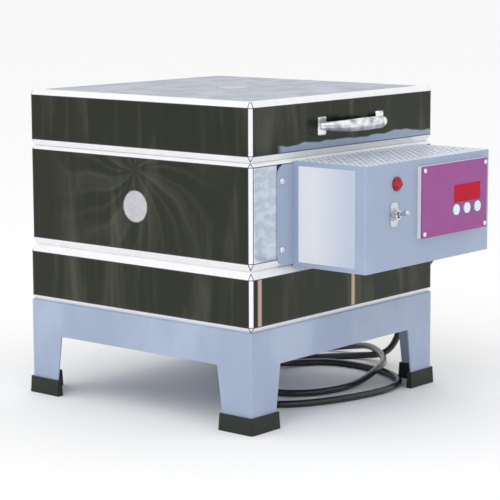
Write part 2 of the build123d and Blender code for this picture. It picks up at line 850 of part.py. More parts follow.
# Toggle switch: body and threaded bush, plate, nut and a bat-shaped lever that rocks in the bush
with BuildPart() as switch_body_piece:
    with BuildSketch(side(0, box_front - box_sheet, *switch_spot)):
        RectangleRounded(switch_body[0], switch_body[1], 1)
    extrude(amount=-switch_body[2])
    with BuildSketch(side(0, box_front - box_sheet, *switch_spot)):
        Circle(switch_bush_radius)
    extrude(amount=box_sheet + switch_bush_stand)
    with BuildSketch(side(0, box_front - box_sheet, *switch_spot)):
        Circle(switch_bore_radius)
    extrude(amount=box_sheet + switch_bush_stand, mode=Mode.SUBTRACT)
    with BuildSketch(side(0, box_front - box_sheet - switch_body[2], *switch_spot)):
        with GridLocations(1, 9, 1, 2):
            Rectangle(4.8, 0.8)
    extrude(amount=-8)
keep(switch_body_piece.part, "switch_body")

with BuildPart() as switch_plate:
    with BuildSketch(side(0, box_front, *switch_spot)):
        RectangleRounded(switch_plate_width, switch_plate_height, 4.5)
        Circle(switch_bush_radius + fit_gap, mode=Mode.SUBTRACT)
    extrude(amount=switch_plate_sheet)
keep(switch_plate.part, "switch_plate")

with BuildPart() as switch_nut:
    with BuildSketch(side(0, box_front + switch_plate_sheet, *switch_spot)):
        RegularPolygon(switch_nut_flats / 2, 6, major_radius=False)
        Circle(switch_bush_radius + fit_gap / 2, mode=Mode.SUBTRACT)
    extrude(amount=switch_nut_height)
keep(switch_nut.part, "switch_nut")

lever_plane = side(0, box_front + lever_pivot, *switch_spot).rotated((-lever_tilt, 0, 0))
with BuildPart() as switch_lever:
    with Locations(lever_plane):
        Sphere(switch_bore_radius - pin_gap)
        with Locations((0, 0, lever_arm)):
            Sphere(lever_tip_radius)
        Cone(lever_root_radius, lever_tip_radius, lever_arm, align=(Align.CENTER, Align.CENTER, Align.MIN))
keep(switch_lever.part, "switch_lever")

# Inside the control box: relay, transformer and terminal block on its floor, and the element wiring
inner_out = half + inner_parts_out


def floor_spot(across):
    """Place on the floor of the control box."""
    return Plane(origin=(across, kiln_y - inner_out, box_inside_floor))


with BuildPart() as relay:
    with BuildSketch(floor_spot(relay_across)):
        RectangleRounded(relay_size[0], relay_size[1], 2)
    extrude(amount=relay_size[2])
    chamfer(relay.faces().sort_by(Axis.Z)[-1].edges(), length=1)
keep(relay.part, "relay")

with BuildPart() as transformer:
    with BuildSketch(floor_spot(transformer_across)):
        Rectangle(transformer_size[0], transformer_size[1] - 14)
    extrude(amount=transformer_size[2])
    with BuildSketch(floor_spot(transformer_across).offset(transformer_size[2] / 2)):
        RectangleRounded(transformer_size[0] - 16, transformer_size[1], 3)
    extrude(amount=transformer_size[2] / 2 - 6, both=True)
    with BuildSketch(floor_spot(transformer_across)):
        Rectangle(transformer_size[0] + 16, transformer_size[1] - 18)
    extrude(amount=1.5)
keep(transformer.part, "transformer")

with BuildPart() as terminal_block:
    with BuildSketch(floor_spot(block_across)):
        Rectangle(block_size[0], block_size[1])
    extrude(amount=block_size[2] / 2)
    with BuildSketch(floor_spot(block_across).offset(block_size[2] / 2)):
        with GridLocations(1, block_size[1] / 3, 1, 4):
            Rectangle(block_size[0] - 6, 1.4)
    extrude(amount=block_size[2] / 2)
keep(terminal_block.part, "terminal_block")


def wire_run(*points):
    """Insulated wire along straight runs with round bends; points are across, out and level."""
    path = [Vector(across, kiln_y - out, z) for across, out, z in points]
    with BuildPart() as wire:
        with BuildLine():
            FilletPolyline(*path, radius=3 * wire_radius)
        with BuildSketch(Plane(origin=path[0], z_dir=path[1] - path[0])):
            Circle(wire_radius)
        sweep()
    return wire.part


terminal_out = half + bushing_head + terminal_length
lower_z, upper_z = element_levels
relay_top = box_inside_floor + relay_size[2]
block_top = box_inside_floor + block_size[2] / 2
wire_rise = transformer_size[2] + box_inside_floor + 10
tail_x = tail_spacing / 2

with BuildPart() as wiring:
    add(wire_run(
        (-tail_x, terminal_out, lower_z),
        (-tail_x, terminal_out + 14, lower_z),
        (relay_across + 6, inner_out, wire_rise),
        (relay_across + 6, inner_out, relay_top),
    ))
    add(wire_run(
        (-tail_x, terminal_out, upper_z),
        (-tail_x, terminal_out + 10, upper_z),
        (relay_across - 6, inner_out - 6, upper_z - 20),
        (relay_across - 6, inner_out - 6, relay_top),
    ))
    add(wire_run(
        (tail_x, terminal_out, lower_z),
        (tail_x, terminal_out + 14, lower_z),
        (tail_x + 20, inner_out, wire_rise),
        (block_across, inner_out - 14, wire_rise),
        (block_across, inner_out - 14, block_top),
    ))
    add(wire_run(
        (tail_x, terminal_out, upper_z),
        (tail_x, terminal_out + 14, upper_z),
        (block_across - 5, inner_out, upper_z - 16),
        (block_across - 5, inner_out, block_top),
    ))
keep(wiring.part, "wiring")

# Lid handle: a cast bow pull, two feet and a grip that swells towards its middle
grip_half = handle_span / 2
foot_width, foot_height, foot_depth = handle_foot
grip_stations = (
    (-grip_half, foot_depth - 1, grip_neck),
    (-grip_half + 9, 0.74 * handle_reach, grip_neck),
    (0, handle_reach, grip_middle),
    (grip_half - 9, 0.74 * handle_reach, grip_neck),
    (grip_half, foot_depth - 1, grip_neck),
)

with BuildPart() as lid_handle:
    with BuildSketch(side(0, half, handle_across, handle_z)):
        with GridLocations(handle_span, 1, 2, 1):
            RectangleRounded(foot_width, foot_height, 2)
    extrude(amount=foot_depth)
    fillet(lid_handle.faces().filter_by(Plane.XZ).group_by(Axis.Y)[0].edges(), radius=1.5)
    with BuildLine(Plane(origin=(handle_across, kiln_y - half, handle_z), x_dir=(1, 0, 0), z_dir=(0, 0, -1))):
        grip_path = Spline(*[(across, out) for across, out, size in grip_stations])
    for share, (height, depth) in ((0, grip_neck), (0.5, grip_middle), (1, grip_neck)):
        with BuildSketch(Plane(origin=grip_path @ share, z_dir=grip_path % share, x_dir=(0, 0, 1))):
            Ellipse(height, depth)
    sweep(path=grip_path, multisection=True)
    with BuildSketch(side(0, half)):
        with Locations(*handle_spots):
            Circle(screw_hole_radius)
    extrude(amount=foot_depth - 1.5, mode=Mode.SUBTRACT)
keep(lid_handle.part, "lid_handle")

inside_lid = side(0, half - jacket_sheet)
handle_screw_plane = Plane(origin=inside_lid.origin, x_dir=(-1, 0, 0), z_dir=(0, 1, 0))
handle_screw_spots = [(-across, z) for across, z in handle_spots]
keep(screws(handle_screw_plane, handle_screw_spots, foot_depth - 1.5), "handle_screws")

# Rear hinge: interleaved knuckles on one pin, with lugs on the lid's leaf that stop it when it is open
knuckle_edges = [share * hinge_length - hinge_length / 2 for share in knuckle_shares]
knuckle_spans = list(zip(knuckle_edges[:-1], knuckle_edges[1:]))
chamber_spans = knuckle_spans[0::2]
lid_spans = knuckle_spans[1::2]
knuckle_clear = knuckle_radius + knuckle_gap


def hinge_leaf_part(way, own_spans, other_spans):
    """Leaf that goes down, way -1, or up, way 1, from the pin, with its knuckles."""
    reach = knuckle_radius + hinge_leaf
    with BuildPart() as leaf:
        with BuildSketch(side(180, half, 0, hinge_z)):
            with Locations((0, way * reach / 2)):
                Rectangle(hinge_length, reach)
            for start, end in other_spans:
                with Locations(((start + end) / 2, 0)):
                    Rectangle(end - start + 2 * knuckle_gap, 2 * knuckle_clear, mode=Mode.SUBTRACT)
        extrude(amount=hinge_sheet)
        outer_corners = leaf.edges().filter_by(Axis.Y).group_by(Axis.Z)[0 if way < 0 else -1]
        fillet(outer_corners, radius=5)
        for start, end in own_spans:
            with BuildSketch(section(180, end - knuckle_gap)):
                with Locations((hinge_out, hinge_z)):
                    Circle(knuckle_radius)
                if way > 0:
                    with Locations((hinge_out + stop_lug / 2, hinge_z)):
                        Rectangle(stop_lug, stop_sheet)
            extrude(amount=end - start - 2 * knuckle_gap)
        with BuildSketch(section(180, hinge_length / 2)):
            with Locations((hinge_out, hinge_z)):
                Circle(pin_radius + pin_gap)
        extrude(amount=hinge_length, mode=Mode.SUBTRACT)
        with BuildSketch(side(180, half, 0, hinge_z + way * hinge_screw_drop)):
            with Locations(*[(across, 0) for across in hinge_screw_across]):
                Circle(screw_hole_radius)
        extrude(amount=hinge_sheet, mode=Mode.SUBTRACT)
    return leaf.part


keep(hinge_leaf_part(-1, chamber_spans, lid_spans), "hinge_chamber_leaf")
keep(hinge_leaf_part(1, lid_spans, chamber_spans), "hinge_lid_leaf")

with BuildPart() as hinge_pin:
    with BuildSketch(section(180, hinge_length / 2 + 1)):
        with Locations((hinge_out, hinge_z)):
            Circle(pin_radius)
    extrude(amount=hinge_length + 2)
    chamfer(hinge_pin.edges().filter_by(GeomType.CIRCLE), length=0.6)
keep(hinge_pin.part, "hinge_pin")

# Supply cord: strain relief, cord laid in two loose loops under the stand, and a moulded plug
box_side = box_across + box_width / 2
flange_radius, flange_length = strain_relief_flange
collar_radius, collar_length = strain_relief_collar

with BuildPart() as cord_strain_relief:
    with BuildSketch(side(90, box_side, *strain_relief_spot)):
        Circle(strain_relief_root)
    with BuildSketch(side(90, box_side + strain_relief_length, *strain_relief_spot)):
        Circle(strain_relief_tip)
    loft()
    groove_step = (strain_relief_length - flange_length) / (strain_relief_grooves + 1)
    for count in range(strain_relief_grooves):
        ring_out = box_side + flange_length + (count + 1) * groove_step
        with BuildSketch(side(90, ring_out, *strain_relief_spot)):
            Circle(strain_relief_root)
            Circle(strain_relief_tip - 0.4, mode=Mode.SUBTRACT)
        extrude(amount=groove_step / 3, mode=Mode.SUBTRACT)
    with BuildSketch(side(90, box_side, *strain_relief_spot)):
        Circle(flange_radius)
    extrude(amount=flange_length)
    with BuildSketch(side(90, box_side, *strain_relief_spot)):
        Circle(strain_relief_hole - fit_gap)
    extrude(amount=-box_sheet)
    with BuildSketch(side(90, box_side - box_sheet, *strain_relief_spot)):
        Circle(collar_radius)
    extrude(amount=-collar_length)
keep(cord_strain_relief.part, "cord_strain_relief")

# Points across from and in front of or behind the kiln's axis, and the level of the cord's middle line
on_floor = cord_radius
plug_axis = plug_height / 2
cord_route = [
    (box_side + strain_relief_length, strain_relief_spot[0], strain_relief_spot[1]),
    (195, strain_relief_spot[0], strain_relief_spot[1]),
    (221, -178, 185),
    (231, -153, 169),
    (228, -130, 147),
    (219, -114, 119),
    (208, -103, 89),
    (203, -96, 58),
    (208, -84, 30),
    (221, -57, 9.5),
    (221, -24, on_floor),
    (197, -2, on_floor),
    (171, 18, on_floor),
    (154, 48, on_floor),
    (122, 71, on_floor),
    (82, 61, on_floor),
    (43, 27, on_floor),
    (5, -9, on_floor),
    (-14, -52, on_floor),
    (4, -97, on_floor),
    (50, -116, on_floor),
    (98, -113, 4.6),
    (142, -107, 12.8),
    (178, -90, 13.8),
    (205, -63, 16),
    (229, -29, 16),
    (243, 4, 9),
    (236, 34, 4.3),
    (208, 68, on_floor),
    (168, 98, on_floor),
    (126, 105, on_floor),
    (79, 78, on_floor),
    (25, 29, on_floor),
    (-31, -20, on_floor),
    (-61, -56, on_floor),
    (-60, -100, on_floor),
    (-27, -131, on_floor),
    (28, -152, on_floor),
    (86, -161, on_floor),
    (132, -148, on_floor),
    (160, -110, on_floor),
    (171, -60, on_floor),
    (166, -14, on_floor),
    (134, 13, on_floor),
    (104, 21, 6.5),
    (82, 17, plug_axis),
    (63, 4.5, plug_axis),
]
cord_points = [Vector(across, kiln_y + deep, z) for across, deep, z in cord_route]


def bend_radius(before, corner, after):
    """Largest arc that the two runs beside a corner of the cord leave room for."""
    shorter = min((corner - before).length, (after - corner).length)
    turn = (corner - before).get_angle(after - corner)
    return 0.45 * shorter / tan(radians(turn / 2))


cord_radii = [bend_radius(*cord_points[i - 1:i + 2]) for i in range(1, len(cord_points) - 1)]

with BuildPart() as power_cord:
    with BuildLine() as cord_line:
        FilletPolyline(*cord_points, radius=cord_radii)
    with BuildSketch(Plane(origin=cord_points[0], z_dir=cord_points[1] - cord_points[0])):
        Circle(cord_radius)
    sweep()
keep(power_cord.part, "power_cord")

cord_length = cord_line.wire().length
cord_share = power_cord.part.volume / (pi * cord_radius ** 2 * cord_length)
print("cord radii", [round(radius) for radius in cord_radii])
print(f"cord length {cord_length:.0f}, volume over section times length {cord_share:.4f}")

# Plug: ribbed neck and rounded grip, two flat blades and a round earth pin
plug_way = (cord_points[-1] - cord_points[-2]).normalized()
plug_start = Plane(origin=cord_points[-1], x_dir=Vector(-plug_way.Y, plug_way.X, 0), z_dir=plug_way)
plug_face = plug_start.offset(plug_neck + plug_grip)

with BuildPart() as plug_body:
    with BuildSketch(plug_start.offset(plug_neck)):
        RectangleRounded(plug_width, plug_height, 6)
    extrude(amount=plug_grip)
    grip_ends = plug_body.faces().sort_by(lambda face: plug_start.to_local_coords(face.center()).Z)
    fillet(grip_ends[0].edges(), radius=3)
    with BuildSketch(plug_start):
        Circle(strain_relief_tip)
    with BuildSketch(plug_start.offset(plug_neck)):
        Circle(plug_neck_radius)
    loft()
keep(plug_body.part, "plug_body")

with BuildPart() as plug_blades:
    with BuildSketch(plug_face):
        with Locations((blade_offset, 0)):
            with GridLocations(1, blade_spacing, 1, 2):
                Rectangle(blade_size[1], blade_size[0])
    extrude(amount=blade_size[2])
    with BuildSketch(plug_face):
        with Locations((blade_offset + earth_pin_offset, 0)):
            Circle(earth_pin_radius)
    extrude(amount=earth_pin_length)
keep(plug_blades.part, "plug_blades")
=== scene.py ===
"""A small top-loading electric kiln on its stand, with a controller box, a pilot lamp and a power cord.

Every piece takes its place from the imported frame, and every finish is a procedural node material.
"""

from math import pi, radians

import bmesh
import bpy
from mathutils import Euler, Matrix, Vector


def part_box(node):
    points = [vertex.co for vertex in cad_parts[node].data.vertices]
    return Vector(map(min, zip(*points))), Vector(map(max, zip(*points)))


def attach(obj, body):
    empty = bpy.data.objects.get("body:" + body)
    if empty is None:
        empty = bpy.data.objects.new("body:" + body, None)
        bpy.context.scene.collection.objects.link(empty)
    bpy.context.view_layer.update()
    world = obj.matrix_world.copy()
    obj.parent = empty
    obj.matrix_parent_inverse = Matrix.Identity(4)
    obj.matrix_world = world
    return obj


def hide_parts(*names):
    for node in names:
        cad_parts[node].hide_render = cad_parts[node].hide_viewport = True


bl_info = {
    "name": "Tabletop Kiln",
    "version": (1, 0, 0),
    "blender": (4, 5, 0),
    "location": "3D View > Sidebar > Kiln",
    "description": "Builds the finishes, the cord and the studio of a small electric kiln",
    "category": "Object",
}

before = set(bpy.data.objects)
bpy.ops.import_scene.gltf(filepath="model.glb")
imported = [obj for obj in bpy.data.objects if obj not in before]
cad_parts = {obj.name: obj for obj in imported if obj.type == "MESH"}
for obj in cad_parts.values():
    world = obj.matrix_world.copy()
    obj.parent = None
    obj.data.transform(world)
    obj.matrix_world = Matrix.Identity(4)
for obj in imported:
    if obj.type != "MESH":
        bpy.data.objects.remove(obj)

MM = 0.001


# Places taken from the frame


def middle(node):
    """The middle of a CAD node's box."""
    low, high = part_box(node)
    return (low + high) / 2


BOX_LOW, BOX_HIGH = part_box("control_box")
PEEPHOLE = middle("peephole_plug")
AXIS_X = middle("lid_slab").x
AXIS_Y = middle("lid_slab").y
# The box's own left side lies inside the end of its flange
FLANGE = 27.0 * MM
BODY_LEFT = BOX_LOW.x + FLANGE


# Settings shown in the sidebar


class StageSettings(bpy.types.PropertyGroup):
    """The camera, the lamp and the floor."""

    camera_place: bpy.props.FloatVectorProperty(
        name="Camera place",
        description="Where the photographer stood, in the frame of the part",
        default=(-1.652, -1.3597, 0.500),
        subtype="TRANSLATION",
        unit="LENGTH",
    )
    camera_azimuth: bpy.props.FloatProperty(
        name="Azimuth", description="Turn of the camera from +Y toward -X",
        default=radians(-50.05), subtype="ANGLE",
    )
    camera_elevation: bpy.props.FloatProperty(
        name="Elevation", description="How far the camera looks down", default=radians(8.84), subtype="ANGLE"
    )
    camera_roll: bpy.props.FloatProperty(
        name="Roll", description="Turn of the camera about its own axis",
        default=radians(-0.18), subtype="ANGLE",
    )
    camera_lens: bpy.props.FloatProperty(
        name="Lens", description="Focal length on a 36 mm sensor", default=135.86, subtype="DISTANCE_CAMERA"
    )
    floor_size: bpy.props.FloatProperty(
        name="Floor", description="Side of the studio floor", default=80.0, unit="LENGTH"
    )
    floor_colour: bpy.props.FloatVectorProperty(
        name="Floor colour", description="Paper of the studio floor",
        default=(0.96, 0.96, 0.96), subtype="COLOR",
    )
    sky_strength: bpy.props.FloatProperty(
        name="Sky", description="Strength of the even light from all round", default=0.98
    )
    key_power: bpy.props.FloatProperty(
        name="Key lamp", description="Power of the large lamp over the camera's left shoulder", default=14.0
    )
    key_size: bpy.props.FloatProperty(
        name="Key size", description="Side of the key lamp", default=1.6, unit="LENGTH"
    )


class CordSettings(bpy.types.PropertyGroup):
    """The supply cord."""

    diameter: bpy.props.FloatProperty(
        name="Diameter", description="Outside of the cord's jacket",
        default=8.2 * MM, unit="LENGTH", precision=4,
    )
    length: bpy.props.FloatProperty(
        name="Length", description="From the strain relief to the plug", default=1.90, unit="LENGTH"
    )


class ColourSettings(bpy.types.PropertyGroup):
    """Base colours of the finishes."""

    # A dark base colour painted for the dark room that the polished jackets mirror: painted reflection
    steel: bpy.props.FloatVectorProperty(
        name="Steel", description="Polished jackets facing a dark room",
        default=(0.026, 0.030, 0.020), subtype="COLOR",
    )
    # Paler streaks painted into the jackets as painted reflections
    steel_painted_reflection: bpy.props.FloatVectorProperty(
        name="Steel glow", description="Paler streaks in the jackets",
        default=(0.085, 0.090, 0.066), subtype="COLOR",
    )
    # Pale colour painted on the folds and round corners: painted highlight
    fold: bpy.props.FloatVectorProperty(
        name="Fold", description="Sloped folds that face the light",
        default=(0.94, 0.95, 0.96), subtype="COLOR",
    )
    # Dark line painted where a fold meets the sheet: painted shade in the crease
    outline: bpy.props.FloatVectorProperty(
        name="Fold edge", description="Dark line where a fold meets the sheet",
        default=(0.075, 0.050, 0.110), subtype="COLOR",
    )
    paint: bpy.props.FloatVectorProperty(
        name="Paint", description="Blue grey paint of the box and the stand",
        default=(0.335, 0.405, 0.55), subtype="COLOR",
    )
    # A paler, lit copy of the paint, which the finishes mix in at random as painted light
    paint_light: bpy.props.FloatVectorProperty(
        name="Pale paint", description="Paint where it catches the light",
        default=(0.42, 0.49, 0.63), subtype="COLOR",
    )
    # Warm glints painted into the floor's jacket: painted reflections
    glint: bpy.props.FloatVectorProperty(
        name="Glint", description="Warm upright glints in the floor's jacket",
        default=(0.46, 0.36, 0.27), subtype="COLOR",
    )
    # Pale colour of the box's side, painted into the chamber's jacket as a painted reflection
    mirrored: bpy.props.FloatVectorProperty(
        name="Mirrored box", description="Pale side of the box as the chamber mirrors it",
        default=(0.76, 0.82, 0.88), subtype="COLOR",
    )
    brick: bpy.props.FloatVectorProperty(
        name="Brick", description="Insulating firebrick inside", default=(0.72, 0.68, 0.60), subtype="COLOR"
    )
    lid_brick: bpy.props.FloatVectorProperty(
        name="Lid brick", description="Upper face of the lid", default=(0.50, 0.525, 0.59), subtype="COLOR"
    )
    plug: bpy.props.FloatVectorProperty(
        name="Plugs", description="Brick of the two plugs", default=(0.61, 0.60, 0.65), subtype="COLOR"
    )
    panel: bpy.props.FloatVectorProperty(
        name="Panel", description="Face of the controller", default=(0.27, 0.060, 0.235), subtype="COLOR"
    )
    display: bpy.props.FloatVectorProperty(
        name="Display", description="Window over the figures", default=(0.54, 0.003, 0.028), subtype="COLOR"
    )
    key: bpy.props.FloatVectorProperty(
        name="Keys", description="Caps of the three keys", default=(0.70, 0.93, 0.97), subtype="COLOR"
    )
    lamp: bpy.props.FloatVectorProperty(
        name="Lamp", description="Faceted pilot lamp", default=(0.50, 0.006, 0.040), subtype="COLOR"
    )
    rubber: bpy.props.FloatVectorProperty(
        name="Rubber", description="Boots under the legs", default=(0.013, 0.015, 0.012), subtype="COLOR"
    )
    cord: bpy.props.FloatVectorProperty(
        name="Cord", description="Jacket of the cord and the plug",
        default=(0.011, 0.011, 0.013), subtype="COLOR",
    )


SETTINGS = {"kiln_stage": StageSettings, "kiln_cord": CordSettings, "kiln_colours": ColourSettings}


# Materials


class Expression:
    """A socket of a node tree. Python's operators on it add Math nodes, or Vector Math nodes for a vector."""

    def __init__(self, tree, socket):
        self.tree = tree
        self.socket = socket

    def is_vector(self):
        return self.socket.type in ("VECTOR", "RGBA")

    def combine(self, operation, *terms):
        vector = any(isinstance(term, Expression) and term.is_vector() for term in terms)
        node = self.tree.nodes.new("ShaderNodeVectorMath" if vector else "ShaderNodeMath")
        node.operation = operation
        for socket, term in zip(node.inputs, terms):
            feed(self.tree, socket, term)
        return Expression(self.tree, node.outputs[0])

    def __add__(self, other):
        return self.combine("ADD", self, other)

    def __radd__(self, other):
        return self.combine("ADD", other, self)

    def __sub__(self, other):
        return self.combine("SUBTRACT", self, other)

    def __rsub__(self, other):
        return self.combine("SUBTRACT", other, self)

    def __mul__(self, other):
        return self.combine("MULTIPLY", self, other)

    def __rmul__(self, other):
        return self.combine("MULTIPLY", other, self)

    def __pow__(self, other):
        return self.combine("POWER", self, other)

    def __abs__(self):
        return self.combine("ABSOLUTE", self)


def feed(tree, socket, value):
    """Links an expression to a socket, or writes a plain number, vector or colour on it."""
    if isinstance(value, Expression):
        tree.links.new(value.socket, socket)
    elif socket.type == "VALUE":
        socket.default_value = value
    else:
        # A colour given as three parts takes 1 as its fourth
        opaque = (1.0,) * (len(socket.default_value) - len(value))
        socket.default_value = tuple(value) + opaque


def sine(value):
    return value.combine("SINE", value)


def lowest(first, second):
    return first.combine("MINIMUM", first, second)


def highest(first, second):
    return first.combine("MAXIMUM", first, second)


def shade(colour, share):
    """A plain colour made lighter or darker."""
    return [part * share for part in colour]


class Finish:
    """One procedural material, with the object's own coordinates and a single surface shader."""

    def __init__(self, name, **constants):
        self.material = bpy.data.materials.new(name)
        self.material.use_nodes = True
        self.tree = self.material.node_tree
        self.tree.nodes.clear()
        self.shader = self.tree.nodes.new("ShaderNodeBsdfPrincipled")
        end = self.tree.nodes.new("ShaderNodeOutputMaterial")
        self.tree.links.new(self.shader.outputs[0], end.inputs["Surface"])
        coordinates = self.node("ShaderNodeTexCoord")
        self.place = coordinates["Object"]
        axes = self.node("ShaderNodeSeparateXYZ", {}, {"Vector": self.place})
        self.x, self.y, self.z = axes["X"], axes["Y"], axes["Z"]
        facing = self.node("ShaderNodeSeparateXYZ", {}, {"Vector": coordinates["Normal"]})
        self.facing_x, self.facing_y, self.facing_z = facing["X"], facing["Y"], facing["Z"]
        self.surface(**constants)

    def node(self, kind, settings=None, values=None):
        """Adds any node from its type, settings and socket values, and returns its outputs by name."""
        node = self.tree.nodes.new(kind)
        for name, value in (settings or {}).items():
            setattr(node, name, value)
        for name, value in (values or {}).items():
            feed(self.tree, node.inputs[name], value)
        return {output.name: Expression(self.tree, output) for output in node.outputs if output.enabled}

    def surface(self, **values):
        """Feeds the surface shader. Names are those of its sockets, with an underscore for each space."""
        for name, value in values.items():
            feed(self.tree, self.shader.inputs[name.replace("_", " ")], value)

    def step(self, value, low, high):
        """Goes smoothly from 0 at low to 1 at high, also where high is the smaller."""
        if low > high:
            return 1 - self.step(value, high, low)
        values = {"Value": value, "From Min": low, "From Max": high}
        return self.node("ShaderNodeMapRange", {"interpolation_type": "SMOOTHSTEP"}, values)["Result"]

    def band(self, value, low, high, soft):
        """1 between low and high, with soft edges."""
        return self.step(value, low - soft, low + soft) * self.step(value, high + soft, high - soft)

    def noise(self, scale, stretch=(1, 1, 1), detail=3.0, roughness=0.5, twist=0.0):
        """Noise from 0 to 1 in the object's own coordinates, drawn out along an axis by stretch."""
        values = {
            "Vector": self.place * stretch,
            "Scale": scale,
            "Detail": detail,
            "Roughness": roughness,
            "Distortion": twist,
        }
        return self.node("ShaderNodeTexNoise", {}, values)["Fac"]

    def mix(self, first, second, share):
        """Goes from the first colour to the second as share goes from 0 to 1."""
        node = self.tree.nodes.new("ShaderNodeMix")
        node.data_type = "RGBA"
        for name, value in (("A", first), ("B", second)):
            feed(self.tree, next(s for s in node.inputs if s.name == name and s.type == "RGBA"), value)
        feed(self.tree, node.inputs["Factor"], share)
        return Expression(self.tree, next(s for s in node.outputs if s.type == "RGBA"))

    def bump(self, height, depth, strength):
        values = {"Height": height, "Distance": depth, "Strength": strength}
        return self.node("ShaderNodeBump", {}, values)["Normal"]


def paint(finish, *names):
    """Gives CAD nodes one finish, and nothing else about them changes."""
    for name in names:
        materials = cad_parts[name].data.materials
        materials.clear()
        materials.append(finish)


def nodes_of(*prefixes):
    """The CAD nodes whose names start with one of the prefixes."""
    return [name for name in sorted(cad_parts) if name.startswith(prefixes)]


# Meshes


def piece(name, mesh_maker, finish, body):
    """A mesh piece drawn by mesh_maker in the frame's own coordinates, which rides on a body."""
    mesh = bpy.data.meshes.new(name)
    drawing = bmesh.new()
    mesh_maker(drawing)
    bmesh.ops.recalc_face_normals(drawing, faces=drawing.faces)
    drawing.to_mesh(mesh)
    drawing.free()
    made = bpy.data.objects.new(name, mesh)
    bpy.context.scene.collection.objects.link(made)
    mesh.materials.append(finish)
    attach(made, body)
    return made


# Operators


class KILN_OT_stage(bpy.types.Operator):
    """Add the camera, the lamp, the sky and the studio floor"""

    bl_idname = "kiln.stage"
    bl_label = "Stage"

    # The lamp hangs on the camera's side, moved left and up, and shines on the middle of the kiln
    lamp_distance = 1.4
    lamp_shift = Vector((-0.6, 0.2, 1.9))
    lamp_target = Vector((0, 0, 0.2))
    sensor_width = 36.0
    clip_end = 200.0

    def execute(self, context):
        settings = context.scene.kiln_stage
        scene = context.scene
        scene.view_settings.view_transform = "Standard"

        lens = bpy.data.cameras.new("camera")
        lens.lens = settings.camera_lens
        lens.sensor_width = self.sensor_width
        lens.clip_end = self.clip_end
        camera = bpy.data.objects.new("camera", lens)
        turn = Euler((pi / 2 - settings.camera_elevation, 0, settings.camera_azimuth)).to_matrix()
        roll = Matrix.Rotation(settings.camera_roll, 3, "Z")
        camera.matrix_world = Matrix.Translation(settings.camera_place) @ (turn @ roll).to_4x4()
        scene.collection.objects.link(camera)
        scene.camera = camera

        paper = Finish("studio_paper", Base_Color=settings.floor_colour, Roughness=1.0)
        drawing = bmesh.new()
        bmesh.ops.create_grid(drawing, x_segments=1, y_segments=1, size=settings.floor_size / 2)
        mesh = bpy.data.meshes.new("studio_floor")
        drawing.to_mesh(mesh)
        drawing.free()
        mesh.materials.append(paper.material)
        floor = bpy.data.objects.new("studio_floor", mesh)
        scene.collection.objects.link(floor)

        lamp = bpy.data.lights.new("key_lamp", "AREA")
        lamp.shape = "SQUARE"
        lamp.size = settings.key_size
        lamp.energy = settings.key_power
        key = bpy.data.objects.new("key_lamp", lamp)
        stand = settings.camera_place.normalized() * self.lamp_distance + self.lamp_shift
        aim = (self.lamp_target - stand).to_track_quat("-Z", "Y")
        key.matrix_world = Matrix.Translation(stand) @ aim.to_matrix().to_4x4()
        scene.collection.objects.link(key)

        world = bpy.data.worlds.new("studio")
        world.use_nodes = True
        scene.world = world
        tree = world.node_tree
        tree.nodes.clear()
        seen = tree.nodes.new("ShaderNodeBackground")
        seen.inputs["Strength"].default_value = 1.0
        light = tree.nodes.new("ShaderNodeBackground")
        light.inputs["Strength"].default_value = settings.sky_strength
        for background in (seen, light):
            background.inputs["Color"].default_value = (1, 1, 1, 1)
        rays = tree.nodes.new("ShaderNodeLightPath").outputs
        straight = Expression(tree, rays["Is Camera Ray"])
        glossy = Expression(tree, rays["Is Glossy Ray"])
        clear = Expression(tree, rays["Is Transmission Ray"])
        shown = lowest(straight + glossy + clear, 1.0)
        mixer = tree.nodes.new("ShaderNodeMixShader")
        feed(tree, mixer.inputs["Fac"], shown)
        tree.links.new(light.outputs[0], mixer.inputs[1])
        tree.links.new(seen.outputs[0], mixer.inputs[2])
        end = tree.nodes.new("ShaderNodeOutputWorld")
        tree.links.new(mixer.outputs[0], end.inputs["Surface"])
        return {"FINISHED"}


